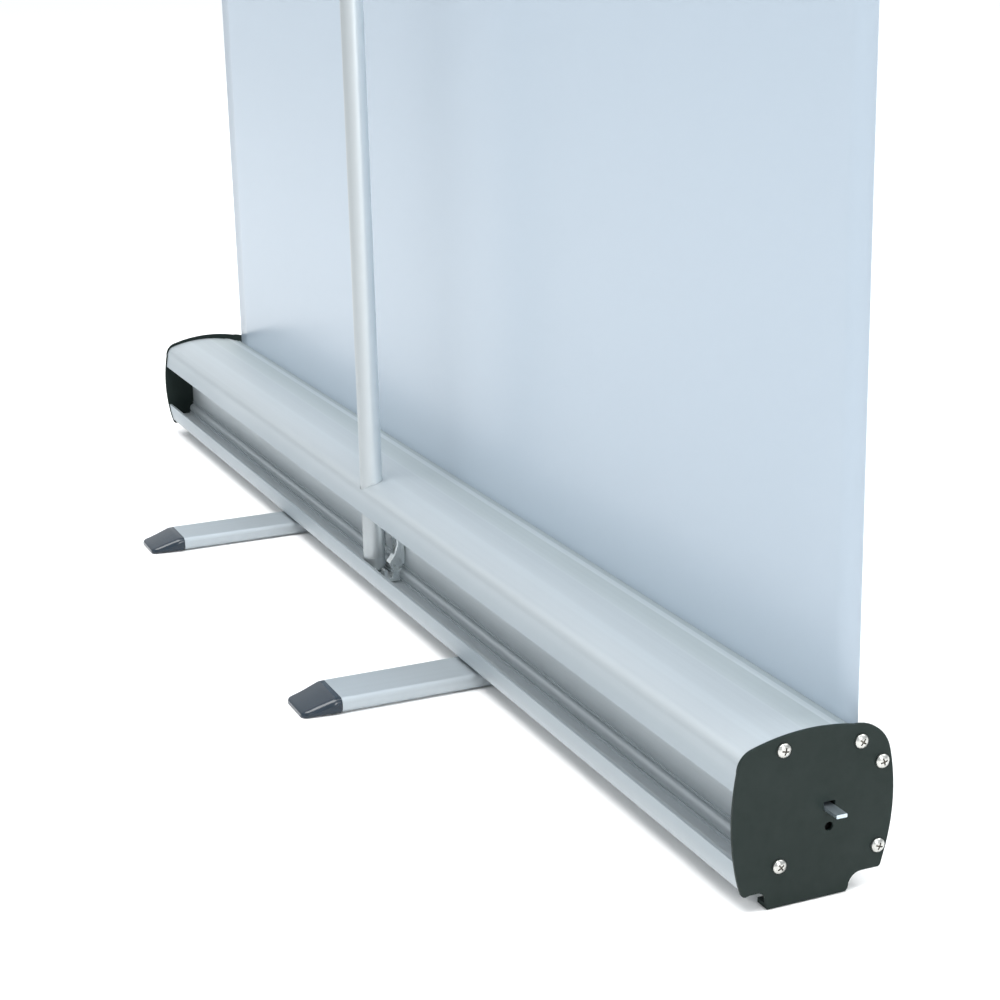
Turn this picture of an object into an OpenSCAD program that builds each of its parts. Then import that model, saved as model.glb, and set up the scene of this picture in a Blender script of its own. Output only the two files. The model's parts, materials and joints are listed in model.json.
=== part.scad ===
// Roll-up banner stand, standing open with the banner raised.
// Frame: +Z up, floor at Z 0, X along the casing, +Y to the rear (pole side),
// origin on the floor under the middle of the base. All sizes in millimetres.

/* [Base] */
// Overall length over both end plates
base_len = 870; // [800:10:1270]
// Thickness of each end plate
plate_t = 1.5; // [1.2:0.1:3]
// Wall thickness of the aluminium casing
skin = 1.6; // [1.4:0.1:1.8]
// Height of the roller axis above the floor
axle_z = 38.5; // [38:0.5:39]

/* [Banner] */
// Visible height of the raised banner above the casing, rail included
banner_h = 2006; // [1500:1:2200]
// Thickness of the banner film
film_t = 0.25; // [0.2:0.05:0.3]
// Outer diameter of the roller tube
roller_d = 31.6; // [30:0.2:31.6]
// Height of the top rail
rail_h = 30; // [26:1:36]

/* [Pole] */
// Outer diameter of the pole
pole_d = 12.7; // [12:0.1:12.9]
// Wall thickness of the pole tubes
pole_wall = 0.9; // [0.8:0.1:1]

/* [Feet] */
// Length of one swivel foot over both end caps
foot_len = 245; // [200:1:280]
// Width of a foot bar
foot_w = 31; // [28:1:34]
// Height of a foot bar
foot_h = 8; // [7:0.1:8]
// Distance between the two foot pivots
foot_spacing = 300; // [290:10:400]

/* [Hidden] */

anodised = "#c5ccd2";
plate_grey = "#3b423f";
steel = "#b9bec0";
film_white = "#c8d5e1";
cap_grey = "#4b5058";
black = "#202223";
nylon = "#e6e6e0";

// Base: places along X, and the section's places in Y and Z
casing_half = base_len / 2 - plate_t;
axle_y = -9.5;
casing_bottom = 9.4;
wall_front = 12.3;
wall_rear = 13.9;
channel_floor = 14.4;
opening_low = 23;
opening_high = 52.5;
slot_front = -27.2;
slot_rear = -25.62;
slot_top_z = 66;
// Rebate along the rear edge of the film slot
rebate_y = -23.4;
rebate_z = 66.5;
// Height of the fine rib along the channel's inner wall
rib_z = 22.3;
// Centres of the five screw ports in Y and Z, and each port's outer radius
ports = [[12.1, 67.2], [-23.4, 64.4], [-33.5, 54], [-32.5, 17.5], [13.3, 17.9]];
port_radii = [3, 2.2, 2.8, 2.6, 3.7];
port_hole_r = 1.3;

// End plate screws
screw_len = 9;
screw_shank_r = 1.25;
screw_head_r = 3.05;
screw_head_h = 1.9;
screw_turns = [12, 38, 75, 20, 55];
screw_hole_r = 1.6;
lock_hole_r = 1.9;
lock_hole_z = 30.4;

// Folded lower lip of an end plate
lip_reach = 7.5;
lip_front = -18;
lip_rear = 18.5;
lip_h = 2.2;

// Roller, film and spring
roller_r = roller_d / 2;
roller_wall = 1.2;
roller_half = casing_half - 4.5;
shaft_r = 3;
bush_r = 3.06;
film_y = axle_y - roller_r - 0.6;
film_half = casing_half - 5;
film_low = 12;
collar_x = -casing_half + 32.5;
collar_len = 8;
anchor_x = -casing_half + 220.5;
anchor_len = 15;
spring_turns = 26;
spring_r = 5.4;
spring_wire_r = 0.8;
// Flattened end of the shaft, held by a slot in the left end plate
tongue_half = 2.5;
tongue_t = 1.6;
tongue_reach = 9.2;
tongue_slot_half = 2.6;
tongue_slot_h = 3.8;

// Pole: its foot stands in the rear channel
pole_y = 23.9;
pole_r = pole_d / 2;
pole_bore_r = pole_r - pole_wall;
pole_seat_z = 15.2;
pole_nose_r = 4;
pole_tube_z = 24;
roof_hole_gap = 0.25;
rail_top_z = slot_top_z + banner_h;
rail_low_z = rail_top_z - rail_h;
pole_top_z = rail_top_z - 10;
pole_section = (pole_top_z - pole_tube_z) / 3;
ferrule_len = 110;
ferrule_wall = 1;
bungee_r = 1.6;
anchor_h = 3;

// Steel bracket that seats the pole, and its two rivets
bracket_half = 25;
bracket_t = 1.4;
bracket_low = 24;
bracket_top = 60;
rivet_x = 19;
rivet_z = 46;
rivet_hole_r = 1.6;

// Top rail, hanger and pole head
rail_front_y = film_y - 5.5;
rail_back_y = film_y + 7;
rail_half = film_half + 0.5;
hanger_y = rail_back_y + 10;
hanger_half = 2.6;
hanger_head_half = 7;
hanger_flange_half = 14;
hanger_flange_t = 1.6;
head_z = rail_low_z + 3;
head_h = 22;
rail_cap_t = 3;
rail_wall = 2;

// Feet
foot_cap_len = 20.5;
foot_bar_half = foot_len / 2 - foot_cap_len;
foot_x = foot_spacing / 2;
bolt_r = 3;
bolt_hole_r = 3.06;
bolt_head_r = 5.5;
bolt_head_z = 3.6;
washer_z = foot_h + 0.1;
washer_r = 10;
nut_plate_t = 3;
foot_wall = 1.5;
foot_corner_r = 2.8;

function wrap(angle) = angle - 360 * floor(angle / 360);

// Centre of the circle through three points
function circle_centre(a, b, c) =
    let(d = 2 * (a[0] * (b[1] - c[1]) + b[0] * (c[1] - a[1]) + c[0] * (a[1] - b[1])))
    let(aa = a * a, bb = b * b, cc = c * c)
    [
        (aa * (b[1] - c[1]) + bb * (c[1] - a[1]) + cc * (a[1] - b[1])) / d,
        (aa * (c[0] - b[0]) + bb * (a[0] - c[0]) + cc * (b[0] - a[0])) / d
    ];

// Arc from a through b to c, its last point left out, with its radius grown by g
function arc(a, b, c, n, g = 0) =
    let(u = circle_centre(a, b, c), r = norm(a - u))
    let(start = atan2(a[1] - u[1], a[0] - u[0]), end = atan2(c[1] - u[1], c[0] - u[0]))
    let(left_turn = cross(b - a, c - b) > 0)
    let(sweep = left_turn ? wrap(end - start) : -wrap(start - end))
    let(rr = left_turn ? r + g : r - g)
    [for (i = [0 : n - 1]) let(t = start + sweep * i / n) u + rr * [cos(t), sin(t)]];

// Outer section of the casing, counter-clockwise, grown by g
function casing_outline(g = 0) = concat(
    arc([30.6, 11], [33.9, 38], [31.7, 60.5], 14, g),
    arc([31.7, 60.5], [30.3, 65], [26.6, 67.5], 6, g),
    arc([26.6, 67.5], [5, 71], [-15.5, 68.9], 16, g),
    arc([-15.5, 69.3], [-18.6, 68.5], [-21.5, 67.3], 3, g),
    arc([-21.5, 67.3], [-28.5, 65.6], [-32.9, 62.6], 6, g),
    arc([-32.9, 62.6], [-35.4, 59.5], [-36.8, 55.5], 5, g),
    arc([-36.8, 55.5], [-38, 38], [-35, 16], 14, g),
    arc([-35, 16], [-33.7, 11.5], [-30.5, casing_bottom], 5, g),
    [[-30.5, casing_bottom - g], [29.2, casing_bottom - g]]
);

// Outline of an end plate, counter-clockwise from its rear lower corner
plate_outline = concat(
    [[18.5, 0], [19.2, 4.4]],
    arc([19.3, 5.2], [20.8, 7.4], [23.4, 8], 4),
    [[26.3, 7.9]],
    arc([28.4, 7.5], [29.8, 8.1], [30.4, 9.6], 4),
    arc([31.5, 12.7], [34.6, 37.7], [32.5, 60.5], 16),
    arc([32.5, 60.5], [30.7, 66.3], [25.8, 69.7], 8),
    arc([25.8, 69.7], [1.9, 73.8], [-20.6, 71.9], 16),
    arc([-20.6, 71.9], [-32.3, 67.7], [-37.5, 58.5], 10),
    arc([-37.5, 58.5], [-39.5, 39], [-35.9, 14], 16),
    [[-35.9, 14]],
    arc([-34.6, 9.5], [-33.9, 8], [-32.4, 7.5], 4),
    arc([-25.5, 7.7], [-20.9, 5.9], [-19.1, 1.7], 6),
    [[-19.1, 1.2], [-18, 0]]
);

// Rectangle centred on the origin with four rounded corners
function rounded_box(w, h, r) = concat(
    corner_arc([w / 2 - r, h / 2 - r], r, 0),
    corner_arc([-w / 2 + r, h / 2 - r], r, 90),
    corner_arc([-w / 2 + r, -h / 2 + r], r, 180),
    corner_arc([w / 2 - r, -h / 2 + r], r, 270)
);

function corner_arc(centre, r, start) =
    [for (i = [0 : 5]) centre + r * [cos(start + 18 * i), sin(start + 18 * i)]];

// Stands a section drawn in Y and Z along X, from x0 to x1
module along_x(x0, x1) {
    translate([x0, 0, 0])
        rotate([90, 0, 90])
            linear_extrude(x1 - x0)
                children();
}

// Stands a section drawn in X and Z along Y, from y0 to y1
module along_y(y0, y1) {
    translate([0, y1, 0])
        rotate([90, 0, 0])
            linear_extrude(y1 - y0)
                children();
}

// Rod along X on the line through y and z
module rod_x(x0, x1, r, y, z) {
    translate([x0, y, z])
        rotate([0, 90, 0])
            cylinder(h = x1 - x0, r = r, $fn = 64);
}

module tube_x(x0, x1, r_out, r_in, y, z) {
    difference() {
        rod_x(x0, x1, r_out, y, z);
        rod_x(x0 - 1, x1 + 1, r_in, y, z);
    }
}

module tube_z(z0, z1, r_out, r_in) {
    difference() {
        translate([0, pole_y, z0]) cylinder(h = z1 - z0, r = r_out, $fn = 64);
        translate([0, pole_y, z0 - 1]) cylinder(h = z1 - z0 + 2, r = r_in, $fn = 64);
    }
}

// ---------- Base ----------

module casing_section() {
    difference() {
        intersection() {
            polygon(casing_outline());
            union() {
                casing_walls();
                casing_ports();
            }
        }
        for (p = ports) translate(p) circle(r = port_hole_r, $fn = 32);
        translate([slot_front, 60]) square([slot_rear - slot_front, 15]);
        translate([slot_front, rebate_z]) square([rebate_y - slot_front, 10]);
        translate([20, opening_low]) square([20, opening_high - opening_low]);
    }
}

module casing_walls() {
    difference() {
        polygon(casing_outline());
        intersection() {
            polygon(casing_outline(-skin));
            union() {
                // Roller chamber
                translate([-60, 0]) square([60 + wall_front, 90]);
                // Pole channel, open to the rear
                translate([wall_rear, channel_floor]) square([40, 90]);
                // Hollow under the channel floor
                translate([wall_rear, 0]) square([40, channel_floor - skin]);
            }
        }
    }
    translate([wall_rear - 0.2, rib_z]) square([0.8, 0.9]);
    // Squared foot where the lowest port meets the channel floor
    translate([wall_rear - 0.2, channel_floor - 0.4]) square([3.5, 1.9]);
}

module casing_ports() {
    for (i = [0 : len(ports) - 1]) {
        translate(ports[i]) circle(r = port_radii[i], $fn = 32);
    }
}

module base_casing() {
    color(anodised)
    difference() {
        along_x(-casing_half, casing_half) casing_section();
        // Hole in the rear corner of the roof that the pole drops through
        translate([0, pole_y, opening_high - 8])
            cylinder(h = 40, r = pole_r + roof_hole_gap, $fn = 64);
        for (side = [-1, 1]) {
            translate([side * foot_x, 0, 0]) cylinder(h = channel_floor - 2, r = bolt_hole_r, $fn = 48);
            translate([side * rivet_x, 5, rivet_z])
                rotate([-90, 0, 0]) cylinder(h = 12, r = rivet_hole_r + 0.1, $fn = 32);
        }
    }
}

module end_plate(drive_side) {
    difference() {
        union() {
            along_x(-base_len / 2, -casing_half) polygon(plate_outline);
            // Lower edge folded inwards as a levelling lip
            translate([-base_len / 2, lip_front, 0]) cube([lip_reach, lip_rear - lip_front, lip_h]);
        }
        for (p = ports) {
            rod_x(-base_len / 2 - 1, -casing_half + 1, screw_hole_r, p[0], p[1]);
        }
        if (drive_side) {
            translate([-base_len / 2 - 1, axle_y - tongue_slot_half, axle_z - 1])
                cube([plate_t + 2, 2 * tongue_slot_half, tongue_slot_h]);
            rod_x(-base_len / 2 - 1, -casing_half + 1, lock_hole_r, axle_y, lock_hole_z);
        } else {
            rod_x(-base_len / 2 - 1, -casing_half + 1, shaft_r, axle_y, axle_z);
        }
    }
}

module end_plate_left() {
    color(plate_grey) end_plate(true);
}

module end_plate_right() {
    color(plate_grey) mirror([1, 0, 0]) end_plate(false);
}

// Pan-head screw with a cross recess, its head towards -X
module plate_screw(p, turn) {
    recess_half = 1.6;
    recess_w = 0.65;
    recess_depth = 1;
    translate([-base_len / 2, p[0], p[1]])
    rotate([turn, 0, 0])
    rotate([0, -90, 0]) {
        difference() {
            rotate_extrude($fn = 48)
                polygon(concat(
                    [[0, 0], [screw_head_r, 0], [screw_head_r, 0.7]],
                    arc([screw_head_r - 0.15, 0.95], [1.9, 1.6], [0, screw_head_h], 6),
                    [[0, screw_head_h]]
                ));
            for (a = [0, 90]) {
                rotate([0, 0, a])
                    translate([-recess_half, -recess_w / 2, screw_head_h - recess_depth])
                        cube([2 * recess_half, recess_w, 2]);
            }
        }
        translate([0, 0, -screw_len]) cylinder(h = screw_len, r = screw_shank_r, $fn = 32);
    }
}

module end_plate_screws() {
    for (i = [0 : len(ports) - 1]) plate_screw(ports[i], screw_turns[i]);
}

module end_plate_screws_left() {
    color(steel) end_plate_screws();
}

module end_plate_screws_right() {
    color(steel) mirror([1, 0, 0]) end_plate_screws();
}

module pole_bracket() {
    window_half = 8;
    color(steel)
    difference() {
        union() {
            // Web against the channel's inner wall
            translate([-bracket_half + 1, wall_rear, bracket_low])
                cube([2 * bracket_half - 1, bracket_t, bracket_top - bracket_low]);
            bracket_hook();
            // Seat that carries the foot of the pole
            translate([-bracket_half + 1, wall_rear + 4.4, channel_floor])
                cube([bracket_half + 7.5, 11.1, pole_seat_z - channel_floor]);
        }
        // Window behind the pole
        translate([-window_half, wall_rear - 1, 27]) cube([2 * window_half, 10, 20]);
        for (side = [-1, 1]) {
            translate([side * rivet_x, wall_rear - 1, rivet_z])
                rotate([-90, 0, 0]) cylinder(h = 10, r = rivet_hole_r, $fn = 32);
        }
    }
}

// Side of the bracket towards -X: a plate held a little off the wall and the floor, which
// hooks round the seat, with one flap turned inwards below its rim and another on its toe
module bracket_hook() {
    gap = 0.8;
    low = channel_floor + 0.5;
    rim_y = wall_rear + 4.6;
    heel_y = wall_rear + 4;
    toe_y = wall_rear + 13.2;
    toe_z = 22.2;
    flap_x = -bracket_half + 5.5;
    along_x(-bracket_half, -bracket_half + bracket_t)
        polygon([
            [wall_rear + gap, bracket_top], [wall_rear + gap, 26], [heel_y, 21.5], [heel_y, low],
            [toe_y - 2.4, low], [toe_y, low + 1.6], [toe_y, toe_z],
            [toe_y - 2, toe_z], [toe_y - 2, 17.4], [rim_y + 3.7, 17.2], [rim_y + 3.7, 22],
            [rim_y + 5.2, 26], [rim_y + 1.9, 30.5], [rim_y, 36], [rim_y, bracket_top]
        ]);
    along_x(-bracket_half, flap_x)
        polygon([[rim_y + 1.9, 30.5], [rim_y + 5.2, 26], [rim_y + 4, 25.1], [rim_y + 0.7, 29.6]]);
    translate([-bracket_half, toe_y - bracket_t, 17])
        cube([flap_x + bracket_half, bracket_t, toe_z - 17]);
}

module bracket_rivets() {
    head_y = wall_rear + bracket_t - 10.55;
    color(steel)
    for (side = [-1, 1]) {
        translate([side * rivet_x, 10.6, rivet_z])
            rotate([-90, 0, 0])
                rotate_extrude($fn = 32)
                    polygon([[0, 0], [2.6, 0], [2.6, 1.7], [rivet_hole_r - 0.1, 1.7],
                             [rivet_hole_r - 0.1, head_y], [3, head_y], [2.4, head_y + 1.15],
                             [0, head_y + 1.45]]);
    }
}

module foot_nut_plates() {
    color(steel)
    for (side = [-1, 1]) {
        translate([side * foot_x, 0, casing_bottom + skin])
            difference() {
                translate([-15, -9, 0]) cube([30, 18, nut_plate_t]);
                translate([0, 0, -1]) cylinder(h = nut_plate_t + 2, r = bolt_r, $fn = 48);
            }
    }
}

module foot_pivot_bolts() {
    head_top = foot_h - foot_wall - 0.05;
    color(steel)
    for (side = [-1, 1]) {
        translate([side * foot_x, 0, 0])
            difference() {
                union() {
                    translate([0, 0, bolt_head_z])
                        cylinder(h = head_top - bolt_head_z, r = bolt_head_r, $fn = 48);
                    translate([0, 0, bolt_head_z]) cylinder(h = 11.6, r = bolt_r, $fn = 48);
                }
                // Hexagon socket in the head
                translate([0, 0, 3]) cylinder(h = 2.4, r = 2.3, $fn = 6);
            }
    }
}

module foot_washers() {
    color(nylon)
    for (side = [-1, 1]) {
        translate([side * foot_x, 0, washer_z])
            difference() {
                cylinder(h = casing_bottom - washer_z, r = washer_r, $fn = 64);
                translate([0, 0, -1]) cylinder(h = 5, r = bolt_r, $fn = 48);
            }
    }
}

// ---------- Roller ----------

module spring_shaft() {
    color(steel) {
        rod_x(-casing_half + 5, anchor_x + anchor_len + 6, shaft_r, axle_y, axle_z);
        translate([-base_len / 2 - tongue_reach, axle_y - tongue_half, axle_z - tongue_t / 2])
            cube([20, 2 * tongue_half, tongue_t]);
    }
}

module spring_collar() {
    color(steel) tube_x(collar_x, collar_x + collar_len, 7, shaft_r, axle_y, axle_z);
}

// Close-wound wire coil, swept round the shaft from the collar to the anchor plug
module torsion_spring() {
    steps = 12;
    sides = 6;
    x0 = collar_x + collar_len + spring_wire_r + 0.3;
    x1 = anchor_x - spring_wire_r - 0.3;
    rings = spring_turns * steps;
    points = [
        for (i = [0 : rings]) for (j = [0 : sides - 1])
            let(t = 360 * i / steps, s = 360 * j / sides, r = spring_r + spring_wire_r * cos(s))
            [
                x0 + (x1 - x0) * i / rings + spring_wire_r * sin(s),
                axle_y + r * cos(t),
                axle_z + r * sin(t)
            ]
    ];
    walls = [
        for (i = [0 : rings - 1]) for (j = [0 : sides - 1]) for (half = [0, 1])
            let(k = (j + 1) % sides, a = i * sides, b = a + sides)
            half == 0 ? [a + j, a + k, b + k] : [a + j, b + k, b + j]
    ];
    start = [for (j = [0 : sides - 1]) sides - 1 - j];
    end = [for (j = [0 : sides - 1]) rings * sides + j];
    color(steel) polyhedron(points = points, faces = concat([start], walls, [end]), convexity = 10);
}

// Fixed pin at the right end, with a head outside the plate and a collar inside it
module idle_pin() {
    color(steel) {
        rod_x(casing_half - 22, base_len / 2 + 0.4, shaft_r, axle_y, axle_z);
        rod_x(base_len / 2, base_len / 2 + 1.6, 5, axle_y, axle_z);
        rod_x(casing_half - 2.2, casing_half, 6, axle_y, axle_z);
    }
}

module roller_tube() {
    color(anodised)
    tube_x(-roller_half, roller_half, roller_r, roller_r - roller_wall, axle_y, axle_z);
}

// Plastic plug at the left end of the roller, with its flange outside the tube
module roller_plug() {
    color(black)
    difference() {
        union() {
            rod_x(-roller_half, -roller_half + 18, roller_r - roller_wall, axle_y, axle_z);
            rod_x(-roller_half - 2, -roller_half, roller_r, axle_y, axle_z);
        }
        rod_x(-roller_half - 3, -roller_half + 20, bush_r, axle_y, axle_z);
    }
}

module roller_plug_left() {
    roller_plug();
}

module roller_plug_right() {
    mirror([1, 0, 0]) roller_plug();
}

module spring_anchor_plug() {
    color(black)
    tube_x(anchor_x, anchor_x + anchor_len, roller_r - roller_wall, bush_r, axle_y, axle_z);
}

// The last turns of film that stay on the roller when the banner is raised
module wound_film() {
    color(film_white)
    tube_x(-film_half, film_half, roller_r + 0.45, roller_r, axle_y, axle_z);
}

module banner_film() {
    color(film_white)
    translate([-film_half, film_y - film_t / 2, film_low])
        cube([2 * film_half, film_t, rail_low_z + 12 - film_low]);
}

// ---------- Feet ----------

module foot_section(inset) {
    translate([0, foot_h / 2])
        polygon(rounded_box(foot_w - 2 * inset, foot_h - 2 * inset, foot_corner_r - inset));
}

module foot_bar(x) {
    color(anodised)
    translate([x, 0, 0])
    difference() {
        along_y(-foot_bar_half, foot_bar_half) foot_section(0);
        along_y(-foot_bar_half - 1, foot_bar_half + 1) foot_section(foot_wall);
        translate([0, 0, foot_h / 2]) cylinder(h = foot_h, r = bolt_hole_r, $fn = 48);
        // Access hole for the bolt head in the underside
        translate([0, 0, -1]) cylinder(h = 4, r = bolt_head_r + 1, $fn = 48);
    }
}

// Tapered cap on the +Y end of a foot bar
module foot_cap(x) {
    tip = foot_len / 2;
    w = foot_w / 2;
    color(cap_grey)
    translate([x, 0, 0]) {
        intersection() {
            along_y(foot_bar_half, tip + 1) foot_section(0);
            linear_extrude(foot_h)
                polygon(concat(
                    [[-w, foot_bar_half], [w, foot_bar_half], [w, foot_bar_half + 3.5]],
                    arc([w - 3, tip - 4], [w - 4, tip - 1], [w - 6.4, tip], 5),
                    arc([-w + 6.4, tip], [-w + 4, tip - 1], [-w + 3, tip - 4], 5),
                    [[-w + 3, tip - 4], [-w, foot_bar_half + 3.5]]
                ));
            along_x(-w, w)
                polygon([
                    [foot_bar_half, 0], [tip, 0], [tip, 1.8], [tip - 0.8, 2.6],
                    [foot_bar_half + 3, foot_h], [foot_bar_half, foot_h]
                ]);
        }
        // Plug inside the bar
        along_y(foot_bar_half - 14, foot_bar_half) foot_section(foot_wall + 0.1);
    }
}

module foot_bar_left() {
    foot_bar(-foot_x);
}

module foot_bar_right() {
    foot_bar(foot_x);
}

module foot_cap_left_rear() {
    foot_cap(-foot_x);
}

module foot_cap_right_rear() {
    foot_cap(foot_x);
}

module foot_cap_left_front() {
    mirror([0, 1, 0]) foot_cap(-foot_x);
}

module foot_cap_right_front() {
    mirror([0, 1, 0]) foot_cap(foot_x);
}

// ---------- Pole ----------

module pole_tube(level) {
    z0 = pole_tube_z + level * pole_section;
    color(anodised) tube_z(z0, z0 + pole_section, pole_r, pole_bore_r);
}

module pole_lower() {
    pole_tube(0);
}

module pole_middle() {
    pole_tube(1);
}

module pole_upper() {
    pole_tube(2);
}

// Short inner tube that joins two pole sections
module pole_ferrule(level) {
    middle = pole_tube_z + level * pole_section;
    color(steel)
    tube_z(middle - ferrule_len / 2, middle + ferrule_len / 2, pole_bore_r, pole_bore_r - ferrule_wall);
}

module pole_ferrule_lower() {
    pole_ferrule(1);
}

module pole_ferrule_upper() {
    pole_ferrule(2);
}

// Round-nosed plug in the foot of the pole
module pole_foot_plug() {
    nose_y = pole_r - pole_nose_r;
    nose_z = pole_seat_z + pole_nose_r;
    plug_z = pole_tube_z + 20;
    color(anodised)
    translate([0, pole_y, 0])
        rotate_extrude($fn = 64)
            polygon(concat(
                [[0, pole_seat_z], [nose_y, pole_seat_z]],
                [for (i = [1 : 8]) let(t = -90 + 90 * i / 8)
                    [nose_y + pole_nose_r * cos(t), nose_z + pole_nose_r * sin(t)]],
                [[pole_r, pole_tube_z], [pole_bore_r, pole_tube_z], [pole_bore_r, plug_z], [0, plug_z]]
            ));
}

// Head of the pole: a cap, an arm to the front, and a jaw that grips the rail's hanger
module pole_head() {
    cap_low = pole_top_z - 26;
    jaw_half = 11;
    jaw_d = 9;
    jaw_front = hanger_y - jaw_d / 2;
    color(black) {
        difference() {
            translate([0, pole_y, cap_low]) cylinder(h = 29, r = pole_r + 1.8, $fn = 64);
            translate([0, pole_y, cap_low - 1]) cylinder(h = 27, r = pole_r, $fn = 64);
        }
        difference() {
            translate([-5, hanger_y + 3, pole_top_z - 20])
                cube([10, pole_y - pole_r - hanger_y - 2.5, 14]);
            translate([0, pole_y, cap_low - 1]) cylinder(h = 30, r = pole_r, $fn = 64);
        }
        difference() {
            translate([-jaw_half, jaw_front, head_z]) cube([2 * jaw_half, jaw_d, head_h]);
            // Pocket for the head of the hanger's rib, and the gap that its stem comes through
            translate([-hanger_head_half - 0.3, hanger_y - 2.8, head_z - 1])
                cube([2 * hanger_head_half + 0.6, 3, head_h + 2]);
            translate([-hanger_half - 0.3, jaw_front - 1, head_z - 1])
                cube([2 * hanger_half + 0.6, 4, head_h + 2]);
        }
    }
}

module pole_bungee() {
    low = pole_tube_z + 20 + anchor_h;
    color(black)
    translate([0, pole_y, low]) cylinder(h = pole_top_z - anchor_h - low, r = bungee_r, $fn = 24);
}

// Washers that hold the two ends of the elastic cord
module bungee_anchors() {
    color(steel)
    for (z = [pole_tube_z + 20, pole_top_z - anchor_h]) {
        translate([0, pole_y, z]) cylinder(h = anchor_h, r = pole_bore_r, $fn = 48);
    }
}

// ---------- Top rail ----------

module top_rail_back() {
    color(anodised)
    along_x(-rail_half, rail_half)
        difference() {
            translate([film_y + film_t / 2, rail_low_z])
                square([rail_back_y - film_y - film_t / 2, rail_h]);
            translate([film_y + 2, rail_low_z + rail_wall])
                square([rail_back_y - film_y - 3.4, rail_h - 2 * rail_wall]);
        }
}

// Front half of the rail, clipped over the film, with a rounded face
module top_rail_front() {
    inner = film_y - film_t / 2;
    color(anodised)
    along_x(-rail_half, rail_half)
        difference() {
            polygon(concat(
                [[inner, rail_low_z], [inner, rail_top_z]],
                arc([inner - 1.5, rail_top_z], [rail_front_y, (rail_top_z + rail_low_z) / 2],
                    [inner - 1.5, rail_low_z], 14),
                [[inner - 1.5, rail_low_z]]
            ));
            translate([inner - 2.9, rail_low_z + 5]) square([1.7, rail_h - 10]);
        }
}

module rail_cap() {
    color(black)
    along_x(-rail_half - rail_cap_t, -rail_half)
        polygon(concat(
            [[rail_back_y + 0.5, rail_low_z - 0.5], [rail_back_y + 0.5, rail_top_z + 0.5]],
            arc([film_y - 1.8, rail_top_z + 0.5], [rail_front_y - 0.6, (rail_top_z + rail_low_z) / 2],
                [film_y - 1.8, rail_low_z - 0.5], 14),
            [[film_y - 1.8, rail_low_z - 0.5]]
        ));
}

module rail_cap_left() {
    rail_cap();
}

module rail_cap_right() {
    mirror([1, 0, 0]) rail_cap();
}

// Upright T-shaped rib on the back of the rail, which slides in the jaw of the pole head
module rail_hanger() {
    flange_y = rail_back_y + hanger_flange_t;
    neck_y = hanger_y - 2.6;
    right_side = [
        [hanger_flange_half, rail_back_y], [hanger_flange_half, flange_y], [hanger_half, flange_y],
        [hanger_half, neck_y], [hanger_head_half, neck_y], [hanger_head_half, hanger_y]
    ];
    left_side = [for (i = [5 : -1 : 0]) [-right_side[i][0], right_side[i][1]]];
    color(steel)
    translate([0, 0, rail_low_z]) linear_extrude(rail_h - 3) polygon(concat(right_side, left_side));
}

module hanger_rivets() {
    color(steel)
    for (side = [-1, 1]) {
        translate([side * 10, rail_back_y + hanger_flange_t, rail_low_z + rail_h / 2])
            rotate([-90, 0, 0])
                rotate_extrude($fn = 32)
                    polygon([[0, 0], [2.6, 0], [2.2, 0.9], [0, 1.3]]);
    }
}

base_casing();
end_plate_left();
end_plate_right();
end_plate_screws_left();
end_plate_screws_right();
spring_shaft();
spring_collar();
torsion_spring();
idle_pin();
pole_bracket();
bracket_rivets();
foot_nut_plates();
foot_pivot_bolts();
foot_washers();
roller_tube();
roller_plug_left();
roller_plug_right();
spring_anchor_plug();
wound_film();
banner_film();
foot_bar_left();
foot_cap_left_front();
foot_cap_left_rear();
foot_bar_right();
foot_cap_right_front();
foot_cap_right_rear();
pole_lower();
pole_middle();
pole_upper();
pole_ferrule_lower();
pole_ferrule_upper();
pole_foot_plug();
pole_head();
pole_bungee();
bungee_anchors();
top_rail_back();
top_rail_front();
rail_cap_left();
rail_cap_right();
rail_hanger();
hanger_rivets();
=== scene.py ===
# Roll-up banner stand: materials, finer shapes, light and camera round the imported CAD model.
# Everything is in metres in the model's own frame: X along the casing, +Y to the rear, +Z up.
import json
import math

import bmesh
import bpy
from mathutils import Matrix, Vector


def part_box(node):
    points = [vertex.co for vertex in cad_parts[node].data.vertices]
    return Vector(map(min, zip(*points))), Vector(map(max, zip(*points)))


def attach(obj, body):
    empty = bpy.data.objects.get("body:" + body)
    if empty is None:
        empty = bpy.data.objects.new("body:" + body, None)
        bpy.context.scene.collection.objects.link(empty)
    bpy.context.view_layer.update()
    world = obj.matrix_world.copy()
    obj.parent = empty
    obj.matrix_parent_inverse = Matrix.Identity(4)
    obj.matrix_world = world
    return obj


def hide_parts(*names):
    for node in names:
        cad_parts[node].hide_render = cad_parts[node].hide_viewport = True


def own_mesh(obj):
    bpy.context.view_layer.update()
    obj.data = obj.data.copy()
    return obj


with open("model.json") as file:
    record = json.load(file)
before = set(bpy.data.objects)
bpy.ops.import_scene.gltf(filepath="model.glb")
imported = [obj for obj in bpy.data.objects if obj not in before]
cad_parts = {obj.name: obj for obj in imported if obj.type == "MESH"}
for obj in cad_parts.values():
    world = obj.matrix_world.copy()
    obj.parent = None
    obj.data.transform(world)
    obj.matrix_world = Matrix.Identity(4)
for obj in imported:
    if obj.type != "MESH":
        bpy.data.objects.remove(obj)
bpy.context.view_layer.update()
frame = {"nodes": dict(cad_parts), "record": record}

slot_of = {s["node"]: s["material_slot"] for s in frame["record"]["subparts"]}
body_of = {
    node: body
    for body, nodes in frame["record"]["behaviour"]["bodies"].items()
    for node in nodes
}

# One millimetre, in the frame's metres
MM = 0.001


# ---------- Camera ----------

CAMERA_PLACE = (-1.0623, 0.3971, 0.3838)
# Turn to the side from the rear-to-front line, tilt down and roll, in degrees
CAMERA_TURN = (66.887, 16.286, -1.332)
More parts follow.
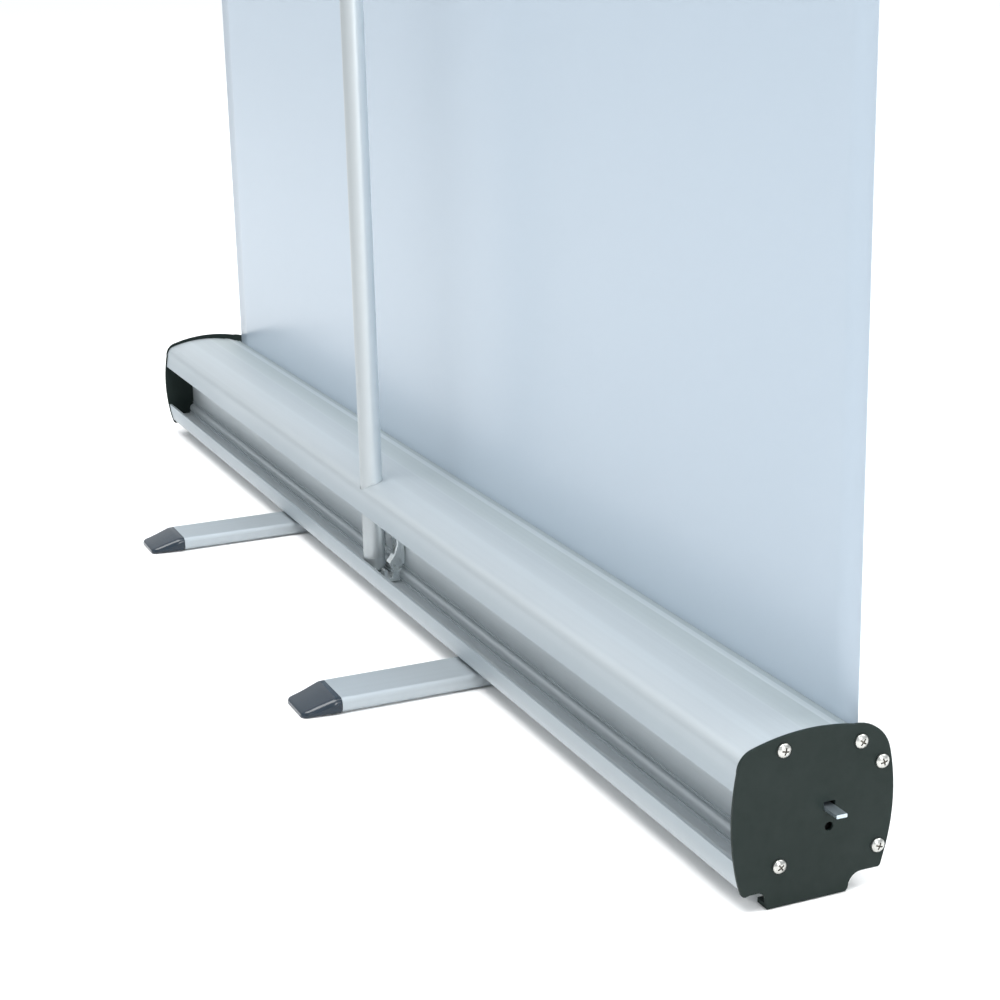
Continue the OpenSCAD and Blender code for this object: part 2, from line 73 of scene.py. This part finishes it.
# Focal length and sensor width in millimetres, and the nearest thing seen in metres
LENS = 73.02
SENSOR = 36
NEAREST = 0.02


def add_camera():
    """Camera behind the left end of the stand, looking down along the casing."""
    yaw, pitch, roll = (math.radians(angle) for angle in CAMERA_TURN)
    forward = Vector((
        math.cos(pitch) * math.sin(yaw),
        -math.cos(pitch) * math.cos(yaw),
        -math.sin(pitch),
    ))
    level = forward.cross(Vector((0, 0, 1))).normalized()
    above = level.cross(forward)
    right = level * math.cos(roll) + above * math.sin(roll)
    up = above * math.cos(roll) - level * math.sin(roll)
    camera = bpy.data.objects.new("camera", bpy.data.cameras.new("camera"))
    camera.data.lens = LENS
    camera.data.sensor_width = SENSOR
    camera.data.clip_start = NEAREST
    axes = Matrix((right, up, -forward)).transposed().to_4x4()
    camera.matrix_world = Matrix.Translation(CAMERA_PLACE) @ axes
    bpy.context.scene.collection.objects.link(camera)
    bpy.context.scene.camera = camera


# ---------- Light and floor ----------

# Name, place, what it points at, width and height, all in metres, and power in watts
SOFTBOXES = [
    ("softbox_above", (-0.5, 0.9, 3.3), (0, 0, 0.1), (2.6, 1.4), 90),
    ("softbox_behind", (-3.2, -0.05, 1.3), (0, 0, 0.3), (0.6, 1.6), 26),
    ("softbox_front", (-0.8, -2.4, 3.0), (0, -0.4, 0), (2.4, 2.0), 70),
]
DOME_COLOUR = (0.955, 1.0, 1.035, 1)
HORIZON_LIGHT = 0.64
ZENITH_LIGHT = 1.3
BACKDROP_LIGHT = 1.2
FLOOR_SIZE = 300
FLOOR_DROP = 0.0004
FLOOR_COLOUR = (0.94, 0.93, 0.92, 1)


def add_softbox(name, place, target, size, power):
    light = bpy.data.lights.new(name, "AREA")
    light.shape = "RECTANGLE"
    light.size, light.size_y = size
    light.energy = power
    box = bpy.data.objects.new(name, light)
    box.location = place
    box.rotation_euler = (Vector(target) - Vector(place)).to_track_quat("-Z", "Y").to_euler()
    bpy.context.scene.collection.objects.link(box)


def add_world():
    """White backdrop for the eye, and a softer cool dome for the light."""
    world = bpy.data.worlds.new("studio")
    world.use_nodes = True
    bpy.context.scene.world = world
    tree = world.node_tree
    dome = tree.nodes["Background"]
    dome.inputs["Color"].default_value = DOME_COLOUR
    # Brighter overhead than at the horizon
    direction = tree.nodes.new("ShaderNodeTexCoord")
    split = tree.nodes.new("ShaderNodeSeparateXYZ")
    tree.links.new(direction.outputs["Generated"], split.inputs["Vector"])
    climb = tree.nodes.new("ShaderNodeMapRange")
    climb.inputs["To Min"].default_value = HORIZON_LIGHT
    climb.inputs["To Max"].default_value = ZENITH_LIGHT
    tree.links.new(split.outputs["Z"], climb.inputs["Value"])
    tree.links.new(climb.outputs["Result"], dome.inputs["Strength"])
    backdrop = tree.nodes.new("ShaderNodeBackground")
    backdrop.inputs["Strength"].default_value = BACKDROP_LIGHT
    path = tree.nodes.new("ShaderNodeLightPath")
    mix = tree.nodes.new("ShaderNodeMixShader")
    tree.links.new(path.outputs["Is Camera Ray"], mix.inputs["Fac"])
    tree.links.new(dome.outputs["Background"], mix.inputs[1])
    tree.links.new(backdrop.outputs["Background"], mix.inputs[2])
    tree.links.new(mix.outputs["Shader"], tree.nodes["World Output"].inputs["Surface"])


def add_floor():
    """Pale paper, a hair below the feet, whose far edge lies close to the horizon."""
    bpy.ops.mesh.primitive_plane_add(size=FLOOR_SIZE, location=(0, 0, -FLOOR_DROP))
    floor = bpy.context.object
    floor.name = "floor"
    paper = bpy.data.materials.new("floor_paper")
    paper.use_nodes = True
    skin = paper.node_tree.nodes["Principled BSDF"]
    skin.inputs["Base Color"].default_value = FLOOR_COLOUR
    skin.inputs["Roughness"].default_value = 0.9
    skin.inputs["Specular IOR Level"].default_value = 0.1
    floor.data.materials.append(paper)


# ---------- Materials ----------

# Where the ramp of the casing's bands of painted light and shade starts and ends along Y, in
# metres, and those bands and the pole's painted shade by facing, as anodised() takes them
BAND_START = -0.040
BAND_END = 0.036
# Painted light and shade: darker and brighter strips across the casing's profile, a dark one at
# the slot's gap
CASING_PAINTED_LIGHT_BANDS = [
    (-0.0290, (1.0, 1.0, 1.0)),
    (-0.0265, (0.72, 0.76, 0.76)),
    (-0.0218, (0.82, 0.86, 0.86)),
    (-0.0214, (1.12, 1.12, 1.12)),
    (-0.0160, (1.12, 1.12, 1.12)),
    (-0.0155, (0.91, 0.93, 0.92)),
    (-0.0020, (0.97, 0.98, 0.97)),
    (-0.0012, (1.04, 1.04, 1.04)),
    (0.0004, (0.98, 0.98, 0.99)),
    (0.0125, (0.98, 0.98, 0.99)),
    (0.0140, (1.03, 1.03, 1.04)),
    (0.0230, (0.98, 0.97, 0.98)),
    (0.0300, (0.90, 0.90, 0.91)),
    (0.0325, (0.66, 0.69, 0.72)),
]
# Painted shade on the pole: darker on its +Y side, lighter on the side that faces the film
POLE_PAINTED_SHADE = [(-1.0, 1.4), (-0.27, 1.33), (0.2, 1.05), (0.4, 0.93), (0.88, 0.74)]


class Surface:
    """A Principled material built up node by node."""

    def __init__(self, name, roughness, metallic=0.0, specular=0.5):
        self.material = bpy.data.materials.new(name)
        self.material.use_nodes = True
        self.nodes = self.material.node_tree.nodes
        self.shader = self.nodes["Principled BSDF"]
        self.shader.inputs["Metallic"].default_value = metallic
        self.shader.inputs["Specular IOR Level"].default_value = specular
        self.shader.inputs["Roughness"].default_value = roughness
        self.place = self.nodes.new("ShaderNodeTexCoord").outputs["Object"]
        self.normal = None

    def link(self, source, target):
        self.material.node_tree.links.new(source, target)

    def stretched(self, scale):
        """The object's own coordinates, scaled along each axis."""
        mapping = self.nodes.new("ShaderNodeMapping")
        mapping.inputs["Scale"].default_value = scale
        self.link(self.place, mapping.inputs["Vector"])
        return mapping.outputs["Vector"]

    def noise(self, scale, detail=3.0, roughness=0.5):
        texture = self.nodes.new("ShaderNodeTexNoise")
        texture.inputs["Scale"].default_value = 1.0
        texture.inputs["Detail"].default_value = detail
        texture.inputs["Roughness"].default_value = roughness
        self.link(self.stretched(scale), texture.inputs["Vector"])
        return texture.outputs["Fac"]

    def ramp(self, value, stops):
        """Colour ramp over stops, which are (position, colour) pairs."""
        ramp = self.nodes.new("ShaderNodeValToRGB")
        points = ramp.color_ramp.elements
        while len(points) < len(stops):
            points.new(0.5)
        for point, (position, colour) in zip(points, stops):
            point.position = position
            point.color = (*colour, 1)
        self.link(value, ramp.inputs["Fac"])
        return ramp.outputs["Color"]

    def multiply(self, one, other):
        mix = self.nodes.new("ShaderNodeMix")
        mix.data_type = "RGBA"
        mix.blend_type = "MULTIPLY"
        mix.inputs["Factor"].default_value = 1.0
        self.link(one, mix.inputs["A"])
        self.link(other, mix.inputs["B"])
        return mix.outputs["Result"]

    def bands(self, stops):
        """Painted light and shade: brightness bands across Y, over the casing's own depth."""
        split = self.nodes.new("ShaderNodeSeparateXYZ")
        self.link(self.place, split.inputs["Vector"])
        span = self.nodes.new("ShaderNodeMapRange")
        span.inputs["From Min"].default_value = BAND_START
        span.inputs["From Max"].default_value = BAND_END
        self.link(split.outputs["Y"], span.inputs["Value"])
        shares = [((y - BAND_START) / (BAND_END - BAND_START), colour) for y, colour in stops]
        return self.ramp(span.outputs["Result"], shares)

    def facing(self, stops):
        """Painted light and shade: brightness by how squarely the surface faces along Y, from -1
        to 1.
        """
        split = self.nodes.new("ShaderNodeSeparateXYZ")
        self.link(self.nodes.new("ShaderNodeTexCoord").outputs["Normal"], split.inputs["Vector"])
        span = self.nodes.new("ShaderNodeMapRange")
        span.inputs["From Min"].default_value = -1.0
        span.inputs["From Max"].default_value = 1.0
        self.link(split.outputs["Y"], span.inputs["Value"])
        shares = [((y + 1) / 2, (share, share, share)) for y, share in stops]
        return self.ramp(span.outputs["Result"], shares)

    def colour(self, value, stops):
        self.link(self.ramp(value, stops), self.shader.inputs["Base Color"])

    def vary_roughness(self, value, low, high):
        span = self.nodes.new("ShaderNodeMapRange")
        span.inputs["From Min"].default_value = 0.3
        span.inputs["From Max"].default_value = 0.7
        span.inputs["To Min"].default_value = low
        span.inputs["To Max"].default_value = high
        self.link(value, span.inputs["Value"])
        self.link(span.outputs["Result"], self.shader.inputs["Roughness"])

    def bump(self, value, depth, strength=1.0):
        """Adds a bump of that depth in metres on top of the ones before it."""
        bump = self.nodes.new("ShaderNodeBump")
        bump.inputs["Distance"].default_value = depth
        bump.inputs["Strength"].default_value = strength
        self.link(value, bump.inputs["Height"])
        if self.normal is not None:
            self.link(self.normal, bump.inputs["Normal"])
        self.normal = bump.outputs["Normal"]
        self.link(self.normal, self.shader.inputs["Normal"])


def tinted(base, factor):
    return tuple(min(1.0, c * factor) for c in base)


def along(axis, lengthwise, across):
    """Texture scale that stretches a pattern along one axis."""
    return tuple(lengthwise if i == axis else across for i in range(3))


def anodised(
    name, axis, base=(0.50, 0.54, 0.555), streak=0.03, rough=(0.46, 0.54), bands=(), facing=()
):
    """Satin anodised extrusion: faint die lines along its length, slow changes of gloss, bands of
    painted light and shade across it as (place in metres along Y, brightness) pairs, and painted
    shade by which way the surface faces, as (Y of the surface's normal, brightness) pairs."""
    metal = Surface(name, rough[0], metallic=0.6)
    lines = metal.noise(along(axis, 1.2, 420), detail=5, roughness=0.65)
    colour = metal.ramp(lines, [
        (0.25, tinted(base, 1 - streak)),
        (0.5, base),
        (0.75, tinted(base, 1 + streak)),
    ])
    # Painted light and shade: brightness bands across the casing's depth
    if bands:
        colour = metal.multiply(colour, metal.bands(bands))
    # Painted shade: brightness by which way the surface faces along Y
    if facing:
        colour = metal.multiply(colour, metal.facing(facing))
    metal.link(colour, metal.shader.inputs["Base Color"])
    clouds = metal.noise(along(axis, 6, 40), detail=3)
    metal.vary_roughness(clouds, *rough)
    metal.bump(lines, 0.00001, 0.15)
    return metal.material


def powder_coat():
    """Matte dark green-grey coat with a fine orange-peel grain."""
    coat = Surface("end_plate_coat", 0.5, specular=0.14)
    clouds = coat.noise((45, 45, 45), detail=5, roughness=0.6)
    coat.colour(clouds, [
        (0.3, (0.0110, 0.0180, 0.0160)),
        (0.55, (0.0132, 0.0205, 0.0185)),
        (0.8, (0.0165, 0.0240, 0.0220)),
    ])
    coat.vary_roughness(coat.noise((300, 300, 300), detail=4), 0.46, 0.6)
    coat.bump(coat.noise((2600, 2600, 2600), detail=2), 0.00004, 0.5)
    coat.bump(coat.noise((500, 500, 500), detail=2), 0.00006, 0.25)
    return coat.material


def zinc():
    """Bright zinc plating with a soft, slightly warm mottle."""
    plate = Surface("zinc_plated_steel", 0.24, metallic=0.8)
    mottle = plate.noise((120, 120, 120), detail=3, roughness=0.5)
    plate.colour(mottle, [
        (0.3, (0.66, 0.68, 0.65)),
        (0.5, (0.76, 0.80, 0.81)),
        (0.7, (0.83, 0.87, 0.89)),
    ])
    plate.vary_roughness(plate.noise((300, 300, 300), detail=2), 0.2, 0.28)
    plate.bump(plate.noise((700, 700, 700), detail=2), 0.00001, 0.3)
    return plate.material


def shaft_steel():
    """Turned steel of the roller shaft, rolled flat at its end."""
    steel = Surface("shaft_steel", 0.32, metallic=0.88)
    marks = steel.noise(along(0, 60, 900), detail=3)
    steel.colour(marks, [(0.3, (0.44, 0.52, 0.57)), (0.7, (0.52, 0.60, 0.65))])
    steel.vary_roughness(marks, 0.28, 0.36)
    steel.bump(marks, 0.00001, 0.4)
    return steel.material


def screw_steel():
    """Nickel-plated screw steel."""
    steel = Surface("screw_steel", 0.3, metallic=1.0)
    marks = steel.noise((500, 500, 500), detail=3)
    steel.colour(marks, [(0.3, (0.46, 0.46, 0.435)), (0.7, (0.54, 0.54, 0.515))])
    steel.vary_roughness(marks, 0.24, 0.34)
    steel.bump(steel.noise((1500, 1500, 1500), detail=2), 0.00001, 0.4)
    return steel.material


def recess_painted_shade():
    """Painted shade inside a screw's cross recess: darker, browner and duller than the head."""
    steel = Surface("screw_recess_shade", 0.5, metallic=0.6)
    marks = steel.noise((900, 900, 900), detail=3)
    steel.colour(marks, [(0.3, (0.16, 0.145, 0.122)), (0.7, (0.23, 0.21, 0.18))])
    steel.vary_roughness(marks, 0.4, 0.6)
    steel.bump(marks, 0.00001, 0.4)
    return steel.material


def spring_steel():
    steel = Surface("spring_steel", 0.35, metallic=1.0)
    marks = steel.noise((400, 400, 400), detail=4)
    steel.colour(marks, [(0.3, (0.20, 0.20, 0.21)), (0.7, (0.36, 0.36, 0.37))])
    steel.vary_roughness(marks, 0.25, 0.42)
    steel.bump(steel.noise((1800, 1800, 1800)), 0.00002, 0.5)
    return steel.material


def film_back():
    """Pale blue-grey satin back of the film."""
    film = Surface("banner_film", 0.3, specular=0.42)
    drift = film.noise((2.2, 2.2, 1.1), detail=3, roughness=0.55)
    film.colour(drift, [
        (0.25, (0.362, 0.425, 0.489)),
        (0.5, (0.366, 0.429, 0.493)),
        (0.75, (0.370, 0.433, 0.497)),
    ])
    film.vary_roughness(film.noise((3, 3, 1.5), detail=2), 0.28, 0.3)
    return film.material


def moulded(name, dark, light, low, high, specular=0.5):
    """Moulded plastic with a fine spark-eroded texture."""
    plastic = Surface(name, (low + high) / 2, specular=specular)
    clouds = plastic.noise((120, 120, 120), detail=4, roughness=0.6)
    plastic.colour(clouds, [(0.3, dark), (0.7, light)])
    plastic.vary_roughness(plastic.noise((450, 450, 450), detail=3), low, high)
    plastic.bump(plastic.noise((1400, 1400, 1400), detail=2), 0.00002, 0.5)
    return plastic.material


def braid():
    """Dark woven cover of the elastic cord, with wavy threads."""
    cord = Surface("elastic_cord", 0.8)
    wave = cord.nodes.new("ShaderNodeTexWave")
    wave.inputs["Scale"].default_value = 1.0
    wave.inputs["Distortion"].default_value = 1.5
    cord.link(cord.stretched((900, 900, 500)), wave.inputs["Vector"])
    cord.colour(wave.outputs["Fac"], [(0.2, (0.012, 0.012, 0.014)), (0.8, (0.05, 0.05, 0.055))])
    cord.bump(wave.outputs["Fac"], 0.0001, 0.6)
    return cord.material


# ---------- Shapes ----------

# Corners nearer than this, in metres, are one corner, and faces that meet at less than
# this angle, in degrees, are one face
SAME_PLACE = 2e-6
FLAT_ANGLE = 0.4
# Edges sharper than this, in degrees, are rounded, in this many steps
SHARP_ANGLE = 32
BEVEL_STEPS = 2
SHADING_WEIGHT = 60


def clean_mesh(node):
    """The CAD node's mesh in a new object, with its flat faces joined up."""
    piece = bpy.data.objects.new(node + "_finished", frame["nodes"][node].data.copy())
    bpy.context.scene.collection.objects.link(piece)
    shape = bmesh.new()
    shape.from_mesh(piece.data)
    bmesh.ops.remove_doubles(shape, verts=shape.verts, dist=SAME_PLACE)
    bmesh.ops.dissolve_limit(
        shape, angle_limit=math.radians(FLAT_ANGLE), verts=shape.verts, edges=shape.edges
    )
    for face in shape.faces:
        face.smooth = True
    shape.to_mesh(piece.data)
    shape.free()
    return piece


def finish_piece(piece, node, body, material):
    """Puts the material on, and lets the piece ride and stand for its CAD node."""
    piece.data.materials.clear()
    piece.data.materials.append(material)
    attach(piece, body)
    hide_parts(node)
    return piece


def rounded_copy(node, material, radius):
    """The CAD shape with its sharp edges broken by a small radius."""
    piece = clean_mesh(node)
    bevel = piece.modifiers.new("broken_edges", "BEVEL")
    bevel.width = radius
    bevel.segments = BEVEL_STEPS
    bevel.limit_method = "ANGLE"
    bevel.angle_limit = math.radians(SHARP_ANGLE)
    bevel.use_clamp_overlap = True
    even = piece.modifiers.new("even_shading", "WEIGHTED_NORMAL")
    even.weight = SHADING_WEIGHT
    even.keep_sharp = True
    return finish_piece(piece, node, body_of[node], material)


# Foot caps, in millimetres. Reach is the distance past the end of the foot's bar.
CAP_LENGTH = 20.5
CAP_STEPS = (0, 0.4, 1, 2, 3, 4, 6, 8, 11, 14, 16.5, 17.5, 18.5, 19.2, 19.8, 20.2, 20.4, 20.5)
CAP_HALF = 15.5
CAP_HEIGHT = 8
CAP_EDGE_R = 2.8
CAP_RIDGE_R = 3.4
# The sides lean in from SIDE_START, and turn a rounded corner from CORNER_START
SIDE_START = 4.0
SIDE_LEAN = 0.15
CORNER_START = 17.0
CORNER_R = 3.5
TIP_HALF = 10.05
# The top slopes from SLOPE_START, and rounds off from NOSE_START
SLOPE_START = 3
SLOPE = 0.324
NOSE_START = 19.3
NOSE_DROP = 0.5
# The top edge's radius grows with reach, and both radii are a share of the height at most.
# The lower one is larger next to the bar.
RIDGE_GROWTH = 0.2
TOP_SHARE = 0.7
LOW_SHARE = 0.25
BAR_END_EXTRA = 0.8
# The plug inside the bar runs between these reaches
PLUG_REACHES = (-14, 0.2)
PLUG_HALF = 13.9
PLUG_LOW = 1.6
PLUG_HIGH = 6.4
PLUG_R = 1.2
# Steps round each corner of a section
CORNER_STEPS = 5


def rounded_ring(half, low, high, top_r, low_r):
    """Section of a foot cap in X and Z: a box with rounded corners."""
    corners = [
        (half - top_r, high - top_r, top_r, 0),
        (-half + top_r, high - top_r, top_r, 90),
        (-half + low_r, low + low_r, low_r, 180),
        (half - low_r, low + low_r, low_r, 270),
    ]
    ring = []
    for x, z, r, start in corners:
        for step in range(CORNER_STEPS + 1):
            turn = math.radians(start + 90 * step / CORNER_STEPS)
            ring.append((x + r * math.cos(turn), z + r * math.sin(turn)))
    return ring


def cap_ring(reach):
    """Section of a foot cap at that distance past the end of its bar."""
    half = CAP_HALF - SIDE_LEAN * max(0.0, min(reach, CORNER_START) - SIDE_START)
    if reach > CORNER_START:
        round_off = ((reach - CORNER_START) / CORNER_R) ** 2
        half = TIP_HALF + CORNER_R * math.sqrt(max(0.0, 1 - round_off))
    height = CAP_HEIGHT - SLOPE * max(0.0, reach - SLOPE_START)
    if reach > NOSE_START:
        height = height - NOSE_DROP * (reach - NOSE_START) ** 2
    top_r = min(CAP_RIDGE_R, CAP_EDGE_R + RIDGE_GROWTH * reach, TOP_SHARE * height)
    low_r = min(CAP_EDGE_R, LOW_SHARE * height + BAR_END_EXTRA * (reach < 1))
    return rounded_ring(half, 0.0, height, top_r, low_r)


def add_foot_cap(node, material):
    """Foot cap with a soft ridge round its sloping top, and its plug inside the bar."""
    low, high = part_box(node)
    centre = (low.x + high.x) / 2
    out = 1 if high.y > 0 else -1
    tip = max(abs(low.y), abs(high.y))
    end = tip - CAP_LENGTH * MM
    shape = bmesh.new()
    plug_ring = rounded_ring(PLUG_HALF, PLUG_LOW, PLUG_HIGH, PLUG_R, PLUG_R)
    plug = [(reach, plug_ring) for reach in PLUG_REACHES]
    shell = [(reach, cap_ring(reach)) for reach in CAP_STEPS]
    for sections in (plug, shell):
        rings = []
        for reach, ring in sections:
            y = out * (end + reach * MM)
            rings.append([shape.verts.new((centre + x * MM, y, z * MM)) for x, z in ring])
        for one, two in zip(rings, rings[1:]):
            for i in range(len(one)):
                j = (i + 1) % len(one)
                shape.faces.new((one[i], one[j], two[j], two[i]))
        shape.faces.new(rings[0])
        shape.faces.new(rings[-1])
    bmesh.ops.recalc_face_normals(shape, faces=shape.faces)
    for face in shape.faces:
        face.smooth = len(face.verts) == 4
    mesh = bpy.data.meshes.new(node + "_shape")
    shape.to_mesh(mesh)
    shape.free()
    piece = bpy.data.objects.new(node + "_moulded", mesh)
    bpy.context.scene.collection.objects.link(piece)
    return finish_piece(piece, node, body_of[node], material)


# Film: squares across and up, the heights of the casing's slot and of the rail's grip,
# and its slight bow in metres
FILM_COLUMNS = 48
FILM_ROWS = 96
FILM_WIDTH = 0.857
SLOT_Z = 0.066
HANG_Z = 2.05
BOW = 0.0004
BOW_ACROSS = 0.0002
RIPPLE = 0.0001
RIPPLE_TURN_X = 9.0
RIPPLE_TURN_Z = 2.1


def add_film(material):
    """Raised film: one thin sheet with the slight set of film kept on a roller."""
    low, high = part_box("banner_film")
    thickness = high.y - low.y
    middle = (low.y + high.y) / 2
    shape = bmesh.new()
    grid = []
    for j in range(FILM_ROWS + 1):
        z = low.z + (high.z - low.z) * j / FILM_ROWS
        line = []
        for i in range(FILM_COLUMNS + 1):
            x = low.x + (high.x - low.x) * i / FILM_COLUMNS
            line.append(shape.verts.new((x, middle + film_wave(x, z), z)))
        grid.append(line)
    for j in range(FILM_ROWS):
        for i in range(FILM_COLUMNS):
            shape.faces.new((grid[j][i], grid[j + 1][i], grid[j + 1][i + 1], grid[j][i + 1]))
    for face in shape.faces:
        face.smooth = True
    mesh = bpy.data.meshes.new("film")
    shape.to_mesh(mesh)
    shape.free()
    film = bpy.data.objects.new("film_sheet", mesh)
    bpy.context.scene.collection.objects.link(film)
    skin = film.modifiers.new("thickness", "SOLIDIFY")
    skin.thickness = thickness
    skin.offset = 0
    bpy.context.view_layer.objects.active = film
    bpy.ops.object.modifier_apply(modifier=skin.name)
    finish_piece(film, "banner_film", "rail", material)
    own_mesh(film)


def film_wave(x, z):
    """Bow of the free film to the front, which dies out at the slot and at the rail."""
    free = max(0.0, math.sin(math.pi * min(1.0, max(0.0, (z - SLOT_Z) / (HANG_Z - SLOT_Z)))))
    bow = BOW + BOW_ACROSS * math.cos(math.pi * x / FILM_WIDTH)
    return -free * (bow + RIPPLE * math.sin(RIPPLE_TURN_X * x + RIPPLE_TURN_Z * z))


# ---------- Screw recesses ----------

# End plate screws, in metres: their places in Y and Z, the plates' outer faces, the
# height of a recess's floor above the plate, the height above which its walls count,
# and how far it reaches out from its axis. A wall's normal has less X than WALL_TILT.
SCREW_PLACES = [
    (0.0121, 0.0672), (-0.0234, 0.0644), (-0.0335, 0.054), (-0.0325, 0.0175), (0.0133, 0.0179)
]
PLATE_FACE = 0.435
RECESS_FLOOR = 0.0009
RECESS_WALL = 0.0005
RECESS_REACH = 0.0018
FLOOR_SLACK = 0.0001
WALL_TILT = 0.5


def screw_distance(place):
    """Distance of a place from the nearest screw's axis."""
    return min(math.hypot(place.y - y, place.z - z) for y, z in SCREW_PLACES)


def darken_recesses(piece):
    """Gives the walls and floor of each screw's cross recess the material of painted shade."""
    piece.data.materials.append(recess)
    for face in piece.data.polygons:
        height = abs(face.center.x) - PLATE_FACE
        wall = abs(face.normal.x) < WALL_TILT
        floor = abs(height - RECESS_FLOOR) < FLOOR_SLACK
        near = screw_distance(face.center) < RECESS_REACH
        if height > RECESS_WALL and (wall or floor) and near:
            face.material_index = 1


# ---------- Assembly ----------

bpy.context.scene.view_settings.view_transform = "Standard"

add_camera()
add_world()
add_floor()
for softbox in SOFTBOXES:
    add_softbox(*softbox)

# The casing's anodised aluminium, with bands of painted light and shade across it
aluminium_x = anodised("anodised_casing", 0, bands=CASING_PAINTED_LIGHT_BANDS)
# The feet's darker base is painted shade: the same anodised aluminium as the casing, toned down
# where the light falls strongly on them
aluminium_y = anodised("anodised_feet", 1, base=(0.42, 0.46, 0.485))
# The pole's anodised aluminium, with painted shade by which way it faces
aluminium_z = anodised(
    "anodised_pole", 2, base=(0.51, 0.545, 0.56), streak=0.01, rough=(0.36, 0.42), facing=POLE_PAINTED_SHADE
)
screws = screw_steel()
# Darker material painted into the screws' cross recesses as shade
recess = recess_painted_shade()
shaft = shaft_steel()
coat = powder_coat()
steel = zinc()
film = film_back()
cap_plastic = moulded(
    "foot_cap_plastic", (0.009, 0.018, 0.029), (0.012, 0.022, 0.034), 0.13, 0.18, specular=0.45
)
black = moulded("black_plastic", (0.012, 0.012, 0.013), (0.024, 0.024, 0.026), 0.35, 0.5)
silver = moulded("silver_plastic", (0.50, 0.54, 0.56), (0.54, 0.58, 0.60), 0.2, 0.28)
nylon = moulded("nylon", (0.70, 0.70, 0.66), (0.80, 0.80, 0.77), 0.4, 0.55)
spring = spring_steel()
cord = braid()

MATERIALS = {
    "end_plate_coat": coat,
    "plated_steel": steel,
    "spring_steel": spring,
    "banner_film": film,
    "foot_cap_plastic": cap_plastic,
    "black_plastic": black,
    "silver_plastic": silver,
    "nylon": nylon,
    "elastic_cord": cord,
}
POLE_PIECES = ("pole_lower", "pole_middle", "pole_upper", "pole_foot_plug")
FOOT_BARS = ("foot_bar_left", "foot_bar_right")
SCREWS = ("end_plate_screws_left", "end_plate_screws_right")
FOOT_CAPS = (
    "foot_cap_left_front",
    "foot_cap_left_rear",
    "foot_cap_right_front",
    "foot_cap_right_rear",
)

# Radius of the broken edges of each node that has them, in metres
EDGE_RADII = {
    "base_casing": 0.00025,
    "end_plate_left": 0.00025,
    "end_plate_right": 0.00025,
    "end_plate_screws_left": 0.00008,
    "end_plate_screws_right": 0.00008,
    "spring_shaft": 0.0003,
    "idle_pin": 0.0003,
    "pole_bracket": 0.0003,
    "bracket_rivets": 0.0003,
    "foot_washers": 0.0002,
    "foot_pivot_bolts": 0.0003,
    "foot_bar_left": 0.0003,
    "foot_bar_right": 0.0003,
    "pole_lower": 0.0002,
    "pole_middle": 0.0002,
    "pole_upper": 0.0002,
    "pole_foot_plug": 0.0002,
    "pole_head": 0.0006,
    "top_rail_back": 0.0004,
    "top_rail_front": 0.0003,
    "rail_cap_left": 0.0008,
    "rail_cap_right": 0.0008,
    "rail_hanger": 0.0003,
    "hanger_rivets": 0.0003,
}


def material_for(node):
    if node in SCREWS:
        return screws
    if node == "spring_shaft":
        return shaft
    if node in POLE_PIECES:
        return aluminium_z
    if node in FOOT_BARS:
        return aluminium_y
    return MATERIALS.get(slot_of[node], aluminium_x)


for node, thing in frame["nodes"].items():
    thing.data.materials.clear()
    thing.data.materials.append(material_for(node))

for node, radius in EDGE_RADII.items():
    piece = rounded_copy(node, material_for(node), radius)
    if node in SCREWS:
        # Painted shade on the walls and floor of each screw's cross recess
        darken_recesses(piece)

for node in FOOT_CAPS:
    add_foot_cap(node, material_for(node))

add_film(film)
